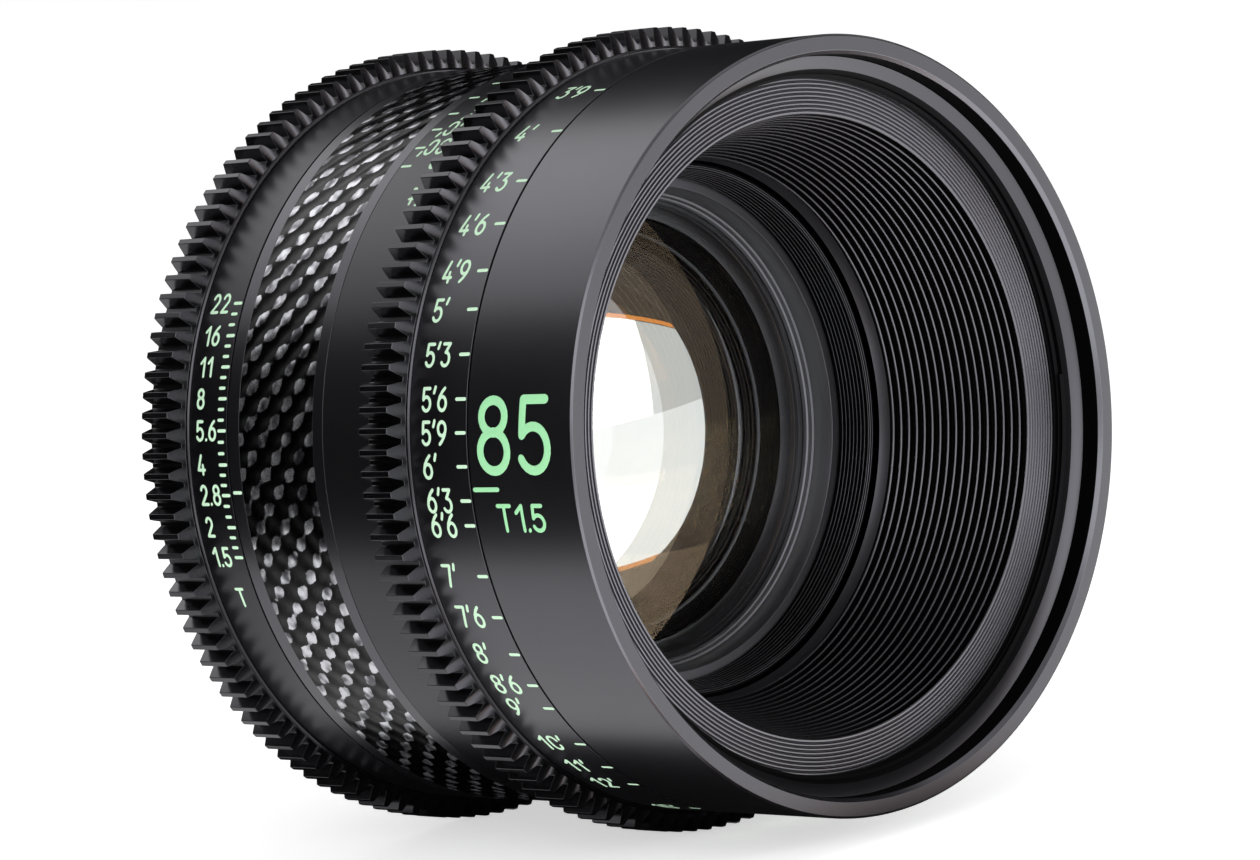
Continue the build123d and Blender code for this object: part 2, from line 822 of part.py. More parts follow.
def mount_spigot():
    """Locating barrel of the mount, with the collar that the rear shell's lip holds."""
    end = lens_length + spigot_length
    return turned(
        (spigot_r - spigot_wall, spigot_start),
        (spigot_collar_r, spigot_start),
        (spigot_collar_r, spigot_start + spigot_collar_length),
        (spigot_root_r, spigot_start + spigot_collar_length),
        (spigot_root_r, lens_length),
        (spigot_r, lens_length),
        (spigot_r, end - edge_chamfer),
        (spigot_r - edge_chamfer, end),
        (spigot_r - spigot_wall, end),
    )


def all_pieces():
    """Every piece by the name of its file."""
    pieces = {
        "front_barrel": front_barrel(),
        "filter_ring": filter_ring(),
        "hood_baffle": hood_baffle(),
        "core_barrel": core_barrel(),
        "sleeve_end_ring": sleeve_end_ring(),
        "carbon_sleeve": carbon_sleeve(),
        "index_ring": index_ring(),
        "focus_scale_ring": focus_scale_ring(),
        "focus_gear": gear_ring(focus_gear_start),
        "focus_rear_sleeve": focus_rear_sleeve(),
        "focus_cam_tube": focus_cam_tube(),
        "focus_carriage": focus_carriage(),
        "front_cell": front_cell(),
        "front_retaining_ring": front_retaining_ring(),
        "element_spacer": element_spacer(),
        "iris_carrier": iris_carrier(),
        "iris_scale_ring": iris_scale_ring(),
        "iris_gear": gear_ring(iris_gear_start),
        "iris_cam_ring": iris_cam_ring(),
        "iris_drive_pin": iris_drive_pin(),
        "iris_housing": iris_housing(),
        "iris_rear_plate": iris_rear_plate(),
        "iris_retainer": iris_retainer(),
        "rear_cell": rear_cell(),
        "rear_housing": rear_housing(),
        "mount_shim": mount_shim(),
        "mount_flange": mount_flange(),
        "mount_spigot": mount_spigot(),
    }
    for index in range(roller_count):
        pieces[f"focus_roller_{index + 1}"] = focus_roller(index)
    for index in range(blade_count):
        pieces[f"iris_blade_{index + 1}"] = iris_blade(index)
    glass = [
        (element_1_r, element_1_station, element_1_thickness, element_1_front_curve, element_1_rear_curve),
        (element_2_r, element_2_station, element_2_thickness, element_2_front_curve, element_2_rear_curve),
        (element_3_r, element_3_station, element_3_thickness, element_3_front_curve, element_3_rear_curve),
        (element_4_r, element_4_station, element_4_thickness, element_4_front_curve, element_4_rear_curve),
        (element_4_r, element_5_station, element_5_thickness, element_4_rear_curve, element_5_rear_curve),
        (element_6_r, element_6_station, element_6_thickness, element_6_front_curve, element_6_rear_curve),
        (element_7_r, element_7_station, element_7_thickness, element_7_front_curve, element_7_rear_curve),
    ]
    for index, sizes in enumerate(glass):
        pieces[f"element_{index + 1}"] = lens_element(*sizes)
    return pieces


os.makedirs("parts", exist_ok=True)
for name, piece in all_pieces().items():
    export_step(piece, f"parts/{name}.step")
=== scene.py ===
from math import atan2, cos, degrees, pi, radians, sin, sqrt

import bmesh
import bpy
from mathutils import Matrix, Vector


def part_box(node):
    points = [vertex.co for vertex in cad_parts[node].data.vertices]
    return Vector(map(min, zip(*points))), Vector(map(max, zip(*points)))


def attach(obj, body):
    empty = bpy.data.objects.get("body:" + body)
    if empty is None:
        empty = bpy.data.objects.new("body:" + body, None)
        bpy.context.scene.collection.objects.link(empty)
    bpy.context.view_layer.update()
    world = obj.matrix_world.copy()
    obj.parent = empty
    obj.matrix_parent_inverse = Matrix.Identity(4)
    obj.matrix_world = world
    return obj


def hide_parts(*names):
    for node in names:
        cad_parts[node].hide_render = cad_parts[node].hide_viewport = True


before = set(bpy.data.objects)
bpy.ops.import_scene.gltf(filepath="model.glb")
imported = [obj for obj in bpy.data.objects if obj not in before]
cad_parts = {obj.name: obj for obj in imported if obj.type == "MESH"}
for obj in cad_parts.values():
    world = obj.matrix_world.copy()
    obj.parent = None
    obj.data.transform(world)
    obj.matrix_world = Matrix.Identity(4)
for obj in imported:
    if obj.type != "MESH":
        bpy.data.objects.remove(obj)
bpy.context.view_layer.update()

# The lens as photographed: the optical axis is Y and the front looks along -Y. Stations are
# millimetres from the front rim towards the camera mount. Angles are degrees from the -X side,
# up towards +Z. The part's own index marks stand at 0 and, for the second operator, at 180.
mm = 0.001
front_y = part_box("front_barrel")[0].y
lens_length = -front_y / mm
scene = bpy.context.scene


# Camera
# A long lens 0.6 m in front, to the left of the axis. The lens stands 8.2 degrees round its own
# axis from the photograph's upright, so the camera and the lights go round with it.
distance, off_axis, roll = 0.600, 43.88, 1.12
shift_across, shift_up = -0.0275, -0.0005
upright = Matrix.Rotation(radians(8.2), 4, "Y")
camera = bpy.data.objects.new("camera", bpy.data.cameras.new("camera"))
scene.collection.objects.link(camera)
camera.data.lens = 141.57
camera.data.sensor_width = 36.0
camera.data.clip_start = 0.01
camera.matrix_world = (
    Matrix.Translation((0, front_y, 0))
    @ upright
    @ Matrix.Rotation(radians(-off_axis), 4, "Z")
    @ Matrix.Rotation(radians(90), 4, "X")
    @ Matrix.Rotation(radians(-roll), 4, "Z")
    @ Matrix.Translation((shift_across, shift_up, distance))
)
scene.camera = camera
scene.view_settings.view_transform = "Standard"


# Studio
# A pale paper floor under the gear teeth, a white surround, and soft boxes above, in front and to
# the right. Black cards and a lit table, which reflections alone see, shape the dark flanks.
def linear(code):
    """An sRGB hex colour as the linear colour that a shader takes."""
    parts = [int(code[i:i + 2], 16) / 255 for i in (1, 3, 5)]
    return [c / 12.92 if c <= 0.04045 else ((c + 0.055) / 1.055) ** 2.4 for c in parts] + [1.0]


def add(tree, kind, inputs, **settings):
    """A node with its settings; each input is given a value or another node's output."""
    node = tree.nodes.new("ShaderNode" + kind)
    for name, value in settings.items():
        setattr(node, name, value)
    for name, value in inputs.items():
        if isinstance(value, bpy.types.NodeSocket):
            tree.links.new(value, node.inputs[name])
        else:
            node.inputs[name].default_value = value
    return node


def calc(tree, operation, *values):
    """The result of one arithmetic node."""
    return add(tree, "Math", dict(enumerate(values)), operation=operation).outputs[0]


def span(tree, value, low, high, start=0.0, end=1.0):
    """A value between start and end, spread over low to high."""
    limits = {"Value": value, "From Min": start, "From Max": end, "To Min": low, "To Max": high}
    return add(tree, "MapRange", limits).outputs["Result"]


def principled(name, values):
    """A material with values on its shader's own sockets; also its node tree and the shader."""
    material = bpy.data.materials.new(name)
    material.use_nodes = True
    shader = material.node_tree.nodes["Principled BSDF"]
    for socket, value in values.items():
        shader.inputs[socket].default_value = value
    return material, material.node_tree, shader


white_surround = bpy.data.worlds.new("white_surround")
scene.world = white_surround
white_surround.use_nodes = True
tree = white_surround.node_tree
tree.nodes.clear()
path = add(tree, "LightPath", {})
shown = calc(tree, "MAXIMUM", path.outputs["Is Camera Ray"], path.outputs["Is Glossy Ray"])
shown = calc(tree, "MAXIMUM", shown, path.outputs["Is Transmission Ray"])
surround_fill = 0.5
level = span(tree, shown, surround_fill, 1.0)
sky = add(tree, "Background", {"Color": linear("#ffffff"), "Strength": level})
add(tree, "OutputWorld", {"Surface": sky.outputs[0]})

# Matte white paper: it keeps the shadow and glows a little, so that it joins the background.
paper_glow = 0.57
paper = bpy.data.materials.new("matte_white_paper")
paper.use_nodes = True
tree = paper.node_tree
tree.nodes.clear()
path = add(tree, "LightPath", {})
sheet = add(tree, "BsdfDiffuse", {"Color": linear("#f4f4f4")})
glow = add(tree, "Emission", {"Color": linear("#ffffff"), "Strength": paper_glow})
white = add(tree, "Emission", {"Color": linear("#ffffff"), "Strength": 1.0})
lit = add(tree, "AddShader", {0: sheet.outputs[0], 1: glow.outputs[0]})
both = add(tree, "MixShader", {
    0: path.outputs["Is Glossy Ray"], 1: lit.outputs[0], 2: white.outputs[0]})
add(tree, "OutputMaterial", {"Surface": both.outputs[0]})
floor_z = -0.0505
bm = bmesh.new()
bmesh.ops.create_circle(
    bm, cap_ends=True, segments=96, radius=40.0, matrix=Matrix.Translation((0, 0, floor_z)))
floor = bpy.data.objects.new("floor", bpy.data.meshes.new("floor"))
bm.to_mesh(floor.data)
bm.free()
floor.data.materials.append(paper)
scene.collection.objects.link(floor)


def soft_box(name, place, aim, width, height, watts):
    """A rectangular soft box that looks at a point; both are in the photograph's upright."""
    lamp = bpy.data.lights.new(name, "AREA")
    lamp.shape = "RECTANGLE"
    lamp.size = width
    lamp.size_y = height
    lamp.energy = watts
    box = bpy.data.objects.new(name, lamp)
    scene.collection.objects.link(box)
    turn = (Vector(aim) - Vector(place)).to_track_quat("-Z", "Y").to_matrix().to_4x4()
    box.matrix_world = upright @ Matrix.Translation(place) @ turn
    return box


middle = (0, front_y / 2, 0)
soft_box("soft_box_top", (-0.10, 0.62, 0.62), middle, 0.55, 0.5, 0.5)
soft_box("soft_box_camera", (-0.95, -0.90, 0.40), middle, 0.9, 0.7, 5.0)
soft_box("soft_box_core", (0.235, -1.14, 0.15), (0.235, 0.0, 0.15), 1.13, 0.70, 7.6)
soft_box("soft_box_front", (1.02, -1.15, 0.15), (1.02, 0.0, 0.15), 2.75, 0.70, 13.0)
soft_box("soft_box_right", (2.42, -0.80, 0.15), (0.0, -0.80, 0.15), 0.66, 0.70, 2.2)
gel_watts = 9
for name, place, width, height, colour in (
        ("amber_gel_top", (1.02, -1.14, 0.511), 2.75, 0.022, "#ff9a3a"),
        ("teal_gel_side", (2.38, -0.44, 0.15), 0.04, 0.70, "#3ad0c4")):
    gel = soft_box(
        name, place, (place[0], 0.0, place[2]), width, height, gel_watts * width * height)
    gel.data.color = linear(colour)[:3]
    gel.visible_diffuse = False

# Black felt: it shows as plain black in the polished faces.
felt = principled("black_felt", {
    "Base Color": linear("#050505"), "Roughness": 1.0, "Specular IOR Level": 0.0})[0]


def card(name, low, high, material):
    """A card between two corners that only reflections see."""
    bm = bmesh.new()
    bmesh.ops.create_cube(bm, size=1.0)
    size = Vector(high) - Vector(low)
    place = (Vector(high) + Vector(low)) / 2
    bmesh.ops.transform(
        bm, verts=bm.verts, matrix=Matrix.Translation(place) @ Matrix.Diagonal((*size, 1)))
    board = bpy.data.objects.new(name, bpy.data.meshes.new(name))
    bm.to_mesh(board.data)
    bm.free()
    scene.collection.objects.link(board)
    board.visible_camera = False
    board.visible_diffuse = False
    board.visible_transmission = False
    board.visible_shadow = False
    board.data.materials.append(material)


def glowing(name, colour, strength):
    """A lit diffuser."""
    material = bpy.data.materials.new(name)
    material.use_nodes = True
    material.node_tree.nodes.clear()
    glow = add(material.node_tree, "Emission", {"Color": linear(colour), "Strength": strength})
    add(material.node_tree, "OutputMaterial", {"Surface": glow.outputs[0]})
    return material


# Lit opal glass, which gives the white reflection, and the amber gel along its edge.
light_table = glowing("light_table_glass", "#ffffff", 3.3)
amber_gel = glowing("amber_gel", "#ff9a3a", 2.2)
card("light_table_edge", (-0.33, -0.108, -0.0499), (2.40, -0.105, -0.0498), amber_gel)
card("card_left", (-0.260, -0.150, -0.050), (-0.255, 0.500, 0.230), felt)
card("card_floor_left", (-0.255, -0.150, -0.0502), (-0.120, 0.500, -0.0500), felt)
card("card_right", (0.200, -0.050, -0.050), (0.205, 1.200, 0.560), felt)
card("card_floor_right", (-0.034, -0.100, -0.0502), (0.200, 1.200, -0.0500), felt)
card("card_front", (-0.35, -1.80, -0.050), (3.0, -1.79, 3.0), felt)
card("card_front_right", (2.50, -1.80, -0.050), (2.51, -0.05, 3.0), felt)
card("card_floor_front", (-0.50, -1.80, -0.0502), (2.50, -0.100, -0.0500), felt)
card("light_table", (-0.33, -1.15, -0.0499), (2.40, -0.108, -0.0498), light_table)


# Front barrel
# The 95 mm front of the fixed barrel, turned from aluminium, bead blasted and anodised black.
# It ends in a flat lip with a fine chamfer inside and out, and carries the recess of the hood.
def shaded(colour, share):
    """A colour made darker or lighter by a share."""
    return [c * share for c in linear(colour)[:3]] + [1.0]


def noise(tree, place, size, detail):
    """Soft noise in Object coordinates, of a size in millimetres."""
    return add(tree, "TexNoise", {
        "Vector": place.outputs["Object"], "Scale": 1 / (size * mm), "Detail": detail}).outputs["Fac"]


def mixed(tree, factor, first, second):
    """A colour between two."""
    return add(tree, "Mix", {"Factor": factor, "A": first, "B": second}, data_type="RGBA").outputs[2]


def surface(name, colour, roughness, specular, grit, depth, metallic=0.0):
    """A blasted and dyed metal skin: fine grit in the normal, and a slow drift in roughness."""
    material, tree, shader = principled(name, {
        "Metallic": metallic, "Specular IOR Level": specular})
    if not metallic:
        shader.inputs["IOR"].default_value = 1.58
        shader.inputs["Specular Tint"].default_value = linear("#f4f3ff")
    place = add(tree, "TexCoord", {})
    drift = noise(tree, place, 12, 3.0)
    level = span(tree, drift, roughness - 0.03, roughness + 0.03)
    tree.links.new(level, shader.inputs["Roughness"])
    grains = noise(tree, place, grit, 2.0)
    tone = mixed(tree, grains, shaded(colour, 0.75), shaded(colour, 1.25))
    tree.links.new(tone, shader.inputs["Base Color"])
    bumps = add(tree, "Bump", {"Height": grains, "Strength": 0.25, "Distance": depth * mm})
    tree.links.new(bumps.outputs["Normal"], shader.inputs["Normal"])
    return material


def profile(bm, points, closed=True):
    """A line of edges through (radius, station) points."""
    corners = [bm.verts.new((radius * mm, front_y + station * mm, 0)) for radius, station in points]
    for first, second in zip(corners, corners[1:] + (corners[:1] if closed else [])):
        bm.edges.new((first, second))
    return corners


def spun(bm, steps):
    """The profile turned once round the optical axis."""
    bmesh.ops.spin(
        bm, geom=bm.verts[:] + bm.edges[:], cent=(0, 0, 0), axis=(0, 1, 0),
        angle=2 * pi, steps=steps, use_merge=True)


def turned(name, outline, edge, material, body, *nodes, steps=256):
    """A ring turned from (radius, station) points, with its sharp corners broken by edge mm."""
    bm = bmesh.new()
    profile(bm, outline)
    spun(bm, steps)
    bmesh.ops.remove_doubles(bm, verts=bm.verts, dist=1e-7)
    return finished(name, bm, edge, material, body, *nodes)


def finished(name, bm, edge, material, body, *nodes):
    """The mesh as an object that rides its body, smooth between corners that a bevel breaks."""
    sharp = radians(28)
    bmesh.ops.recalc_face_normals(bm, faces=bm.faces)
    for face in bm.faces:
        face.smooth = True
    if not edge:
        for joint in bm.edges:
            joint.smooth = joint.calc_face_angle(0) < sharp
    piece = bpy.data.objects.new(name, bpy.data.meshes.new(name))
    bm.to_mesh(piece.data)
    bm.free()
    scene.collection.objects.link(piece)
    piece.data.materials.append(material)
    if edge:
        bevel = piece.modifiers.new("broken_edges", "BEVEL")
        bevel.width = edge * mm
        bevel.segments = 2
        bevel.limit_method = "ANGLE"
        bevel.angle_limit = sharp
        bevel.harden_normals = True
    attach(piece, body)
    if nodes:
        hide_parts(*nodes)
    return piece


def repaint(piece, material, chosen):
    """Another material on faces chosen by radius, station and how far they face the front."""
    piece.data.materials.append(material)
    for face in piece.data.polygons:
        radius = sqrt(face.center.x ** 2 + face.center.z ** 2) / mm
        if chosen(radius, (face.center.y - front_y) / mm, -face.normal.y):
            face.material_index = len(piece.data.materials) - 1


# Black anodised aluminium, bead blasted: a dark satin skin with broad soft highlights.
satin_anodised = surface("satin_black_anodised_aluminium", "#08080a", 0.30, 1.0, 0.16, 0.01)
rim_r = 47.5
front_length = 17.6
lap_r = 44.05
bore_r = 43.55
# The lip: the barrel's satin made darker and with dimmer highlights, which is painted shade.
lip_anodised_painted_shade = surface("black_anodised_aluminium_painted_shade", "#060607", 0.30, 0.42, 0.16, 0.01)
# Matte black paint that swallows light, partly real and partly painted shade: in the bore behind the
# lip, the rib gaps, the thread, the funnel ribs and the screw sockets.
dead_black_and_painted_shade = surface("matte_black_paint_and_painted_recess_shade", "#020202", 0.5, 0.04, 0.2, 0.0)
shell = turned("front_barrel_shell", [
    (rim_r - 0.25, 0.0), (rim_r, 0.25), (rim_r, front_length),
    (bore_r, front_length), (bore_r, 12.6), (lap_r, 12.6), (lap_r, 7.6), (45.05, 7.6),
    (45.05, 0.5), (45.5, 0.0),
], 0.06, satin_anodised, "barrel", "front_barrel")
# The lip's face takes the darker satin: painted shade.
repaint(shell, lip_anodised_painted_shade, lambda radius, station, facing: facing > 0.9 and station < 0.3)
# The bore behind the lip takes the dead black, partly painted shade.
repaint(shell, dead_black_and_painted_shade, lambda radius, station, facing: radius < 45.2 and station > 0.3)


# Filter ring
# A separate ring behind the lip with a lead-in bevel and a fine thread, M86 by 0.75, for a
# screw-in filter. Its face has the lip's darker satin and its thread is dull black: painted shade.
wall = turned("filter_ring_wall", [
    (43.45, 3.55), (45.0, 2.9), (45.0, 6.2), (42.9, 6.2), (42.9, 4.1),
], 0.05, lip_anodised_painted_shade, "barrel", "filter_ring")
repaint(wall, dead_black_and_painted_shade, lambda radius, station, facing: facing < 0.85)
thread_pitch = 0.75
thread_turns = 2.4
thread_steps = 192
bm = bmesh.new()
bm.faces.new(profile(bm, ((42.95, 3.95), (42.5, 4.2), (42.5, 4.28), (42.95, 4.53))))
bmesh.ops.spin(
    bm, geom=bm.faces[:], cent=(0, 0, 0), axis=(0, 1, 0), angle=2 * pi * thread_turns,
    steps=int(thread_steps * thread_turns), dvec=(0, thread_pitch * mm / thread_steps, 0))
# The thread's dull black is painted shade.
finished("filter_thread", bm, 0, dead_black_and_painted_shade, "barrel")


# Hood baffle
# A deep cone inside the front that traps stray light. Its front face has fine concentric
# grooves, and its wall is turned in eighteen sharp ribs; the dead matte black between them is painted
# shade.
# Bare anodising on the crests, which catches the light as fine lines.
baffle_black = surface("baffle_black_anodised_aluminium", "#050506", 0.34, 0.85, 0.2, 0.01)
baffle_front = 6.2
baffle_end = 28.02
mouth_r = 38.1
end_r = 33.7
band = 1.2
ribs = 18
rib_depth = 0.75
rib_step = (baffle_end - band - baffle_front) / ribs
rib_fall = (mouth_r - end_r) / ribs
rib_land = 0.22
crest_bevel = 0.12
outline = [(44.95, baffle_front), (44.95, baffle_front + 1.4), (40.0, baffle_front + 1.4),
           (35.2, baffle_end - band), (35.2, baffle_end), (end_r, baffle_end),
           (end_r + 0.75, baffle_end - band)]
for rib in reversed(range(ribs)):
    crest_r = mouth_r - rib_fall * rib
    start = baffle_front + rib_step * rib
    outline += [(crest_r - rib_fall + rib_depth, start + rib_step),
                (crest_r + rib_depth, start + rib_land + 0.05), (crest_r, start + rib_land),
                (crest_r, start + crest_bevel), (crest_r + crest_bevel, start)]
grooves, groove_pitch, groove_depth = 9, 0.5, 0.25
for groove in range(grooves):
    radius = mouth_r + 0.35 + groove_pitch * groove
    outline += [(radius, baffle_front), (radius + 0.16, baffle_front + groove_depth),
                (radius + 0.32, baffle_front)]
# The cone is dead black, painted shade in the gaps; crests, grooved face and end band are bare
# anodising.
cone = turned("hood_baffle_cone", outline, 0.03, dead_black_and_painted_shade, "barrel", "hood_baffle", steps=160)
repaint(cone, baffle_black, lambda radius, station, facing: (
    radius > mouth_r + 0.2 and station < baffle_front + 0.3
    or station > baffle_end - band and facing > 0.2
    or radius < mouth_r + 0.10 - (station - baffle_front) * rib_fall / rib_step))


# Front cell
# The cell that carries the front glass and slides when the lens is focused. Its mouth is a
# short funnel with fine ribs, and a threaded ring with a wrench slope holds the first element.
funnel_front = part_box("front_cell")[0].y / mm + lens_length
funnel_mouth_r = 32.9
funnel_throat_r = 32.1
funnel_length = 4.8
fine_ribs = 8
outline = [(33.35, funnel_front), (33.35, funnel_front + 2.9),
           (funnel_throat_r + 0.7, funnel_front + 4.6), (funnel_throat_r, funnel_front + funnel_length)]
fine_step = (funnel_length - 0.3) / fine_ribs
for rib in reversed(range(fine_ribs)):
    crest_r = funnel_mouth_r - 0.36 - (funnel_mouth_r - funnel_throat_r) * rib / fine_ribs
    start = funnel_front + 0.25 + fine_step * rib
    outline += [(crest_r + 0.30, start + fine_step), (crest_r + 0.32, start + 0.22),
                (crest_r, start + 0.18), (crest_r, start)]
outline += [(funnel_mouth_r - 0.05, funnel_front + 0.2), (funnel_mouth_r + 0.1, funnel_front - 0.02)]
# The funnel ribs are dead black, painted shade; only their broken edges take the bare anodising.
fine_cone = turned("front_cell_ribs", outline, 0.05, dead_black_and_painted_shade, "focus_group")
fine_cone.data.materials.append(baffle_black)
fine_cone.modifiers["broken_edges"].material = 1

# Matte anodising: a soft grey slope round the glass.
matte_anodised = surface("matte_black_anodised_aluminium", "#070708", 0.42, 0.8, 0.2, 0.02)
retainer_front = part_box("front_retaining_ring")[0].y / mm + lens_length
retainer_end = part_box("front_retaining_ring")[1].y / mm + lens_length
turned("front_retaining_cone", [
    (30.75, retainer_front), (32.05, retainer_front), (32.05, retainer_end), (29.4, retainer_end),
    (29.55, retainer_end - 0.45), (29.8, retainer_end - 0.55), (29.9, retainer_end - 1.1),
    (30.2, retainer_end - 1.2), (30.3, retainer_front + 0.9),
], 0.04, matte_anodised, "focus_group", "front_retaining_ring")


# Optical glass
# Ground and polished crown and flint elements. The films on the front face and on elements 3 to
# 6 reflect much more than real anti-reflection coatings; those of the front group mirror the
# studio's white. The others leave a faint green or violet. The ground edges are painted black.
def coated_glass(name, tint, ior, film, film_ior):
    """Clear polished glass under a thin film, whose thickness is in nanometres."""
    return principled(name, {
        "Base Color": linear(tint), "Roughness": 0.0, "IOR": ior, "Transmission Weight": 1.0,
        "Thin Film Thickness": film, "Thin Film IOR": film_ior})[0]


def sag(curve, radius):
    """How far a spherical face has moved along the axis at a radius."""
    return curve - sqrt(curve * curve - radius * radius) * (1 if curve > 0 else -1)


def ground_lens(name, radius, vertex, thickness, front_curve, rear_curve, coat, body):
    """One element: two polished spherical faces and a painted edge."""
    rings = 20
    radii = [radius * i / rings for i in range(rings + 1)]
    front = [(r, vertex + sag(front_curve, r)) for r in radii]
    rear = [(r, vertex + thickness + sag(rear_curve, r)) for r in radii]
    bm = bmesh.new()
    profile(bm, front + rear[::-1], closed=False)
    spun(bm, 128)
    bmesh.ops.remove_doubles(bm, verts=bm.verts, dist=1e-7)
    for face in bm.faces:
        if all(sqrt(v.co.x ** 2 + v.co.z ** 2) > (radius - 0.01) * mm for v in face.verts):
            face.material_index = 1
    piece = finished(name + "_glass", bm, 0, coat, body, name)
    piece.data.materials.append(edge_paint)
    return piece


green_coat = coated_glass("crown_glass_green_coat", "#fdfdfe", 1.60, 200.0, 1.38)
white_coat = coated_glass("crown_glass_white_coat", "#fdfdfe", 1.60, 66.0, 2.05)
violet_coat = coated_glass("crown_glass_violet_coat", "#fdfdfe", 1.62, 108.0, 1.28)
mirror_coat = coated_glass("flint_glass_white_coat", "#fefdfe", 1.70, 51.0, 2.6)
# Black lacquer on the ground edges, which hides them behind the polished faces.
edge_paint = surface("black_edge_paint", "#030303", 0.6, 0.15, 0.2, 0.0)
first = ground_lens("element_1", 30.6, 30.717, 8.0, 66.0, 179.9, white_coat, "focus_group")
repaint(first, violet_coat, lambda radius, station, facing: facing < -0.5)
ground_lens("element_2", 28.0, 39.217, 6.5, 50.0, 95.0, violet_coat, "focus_group")
ground_lens("element_3", 21.0, 46.317, 2.7, 75.0, 40.0, mirror_coat, "focus_group")
ground_lens("element_4", 20.0, 74.999, 2.0, -38.0, 60.0, mirror_coat, "barrel")
ground_lens("element_5", 20.0, 77.019, 7.2, 60.0, -70.0, mirror_coat, "barrel")
ground_lens("element_6", 19.0, 84.819, 6.2, 52.06, -90.06, mirror_coat, "barrel")
ground_lens("element_7", 18.0, 92.419, 2.2, -59.94, -160.2, green_coat, "barrel")


# Engraving
# Figures and ticks are cut by a round-nosed tool, so each one is made of strokes of one width
# with round ends. The cuts are filled with pale green paint that glows in the dark.
def bow(x, y, wide, high, first, last):
    """Points along an arc of an oval, every 15 degrees or so, in a glyph's unit square."""
    count = max(2, int(abs(last - first) / 15))
    turn = [radians(first + (last - first) * i / count) for i in range(count + 1)]
    return [(x + wide * cos(a), y + high * sin(a)) for a in turn]


glyphs = {
    "0": (0.50, [bow(0.5, 0.68, 0.5, 0.32, 0, 180) + bow(0.5, 0.32, 0.5, 0.32, 180, 360)]),
    "1": (0.30, [[(0.0, 0.72), (0.92, 1.0), (0.92, 0.0)]]),
    "2": (0.50, [bow(0.48, 0.72, 0.45, 0.28, 165, -38) + [(0.0, 0.0), (1.0, 0.0)]]),
    "3": (0.50, [[(0.08, 1.0), (0.92, 1.0), (0.42, 0.61)] + bow(0.45, 0.305, 0.52, 0.305, 80, -148)]),
    "4": (0.52, [[(0.50, 1.0), (0.0, 0.22), (1.0, 0.22)], [(0.72, 0.48), (0.72, 0.0)]]),
    "5": (0.50, [[(0.92, 1.0), (0.12, 1.0)] + bow(0.48, 0.31, 0.52, 0.31, 142, -152)]),
    "6": (0.50, [[(0.80, 1.0), (0.46, 0.84), (0.14, 0.60)] + bow(0.5, 0.31, 0.5, 0.31, 172, 532)]),
    "7": (0.48, [[(0.0, 1.0), (1.0, 1.0), (0.42, 0.0)]]),
    "8": (0.50, [bow(0.5, 0.77, 0.43, 0.23, -90, 270), bow(0.5, 0.275, 0.5, 0.275, -90, 270)]),
    "9": (0.50, [[(0.20, 0.0), (0.54, 0.16), (0.86, 0.40)] + bow(0.5, 0.69, 0.5, 0.31, -8, 352)]),
    "T": (0.56, [[(0.0, 1.0), (1.0, 1.0)], [(0.5, 1.0), (0.5, 0.0)]]),
    "f": (0.34, [bow(0.75, 0.86, 0.40, 0.14, 75, 180) + [(0.35, 0.0)], [(0.0, 0.62), (0.85, 0.62)]]),
    "t": (0.34, [[(0.35, 0.92)] + bow(0.75, 0.14, 0.40, 0.14, 180, 285), [(0.0, 0.62), (0.85, 0.62)]]),
    "'": (0.10, [[(0.9, 1.06), (0.1, 0.80)]]),
    ".": (0.06, [[(0.4, 0.0), (0.6, 0.02)]]),
    "~": (0.95, [
        bow(0.25, 0.5, 0.25, 0.24, 40, 320) + bow(0.75, 0.5, 0.25, 0.24, -140, 140) + [(0.44, 0.65)]]),
}
narrow = ".'"


def lettering(text, height, stroke, spread=1.0):
    """Strokes of a line of figures that starts at 0 and is this many millimetres high."""
    x, strokes = 0.0, []
    tall = height - stroke
    for letter in text:
        width, shape = glyphs[letter]
        width *= tall * spread
        if letter in narrow:
            x -= 0.5 * stroke
        for points in shape:
            strokes.append([(x + stroke / 2 + px * width, stroke / 2 + py * tall) for px, py in points])
        x += width + stroke + 0.27 * stroke + 0.09 * height
        if letter in narrow:
            x -= 0.5 * stroke
    return strokes


def straight_runs(points):
    """A stroke cut where it turns sharply, as an engraver lifts and sets the tool."""
    runs, run = [], [Vector((*points[0], 0)), Vector((*points[1], 0))]
    for point in points[2:]:
        point = Vector((*point, 0))
        if (run[-1] - run[-2]).angle(point - run[-1]) > radians(35):
            runs.append(run)
            run = [run[-1]]
        run.append(point)
    return runs + [run]


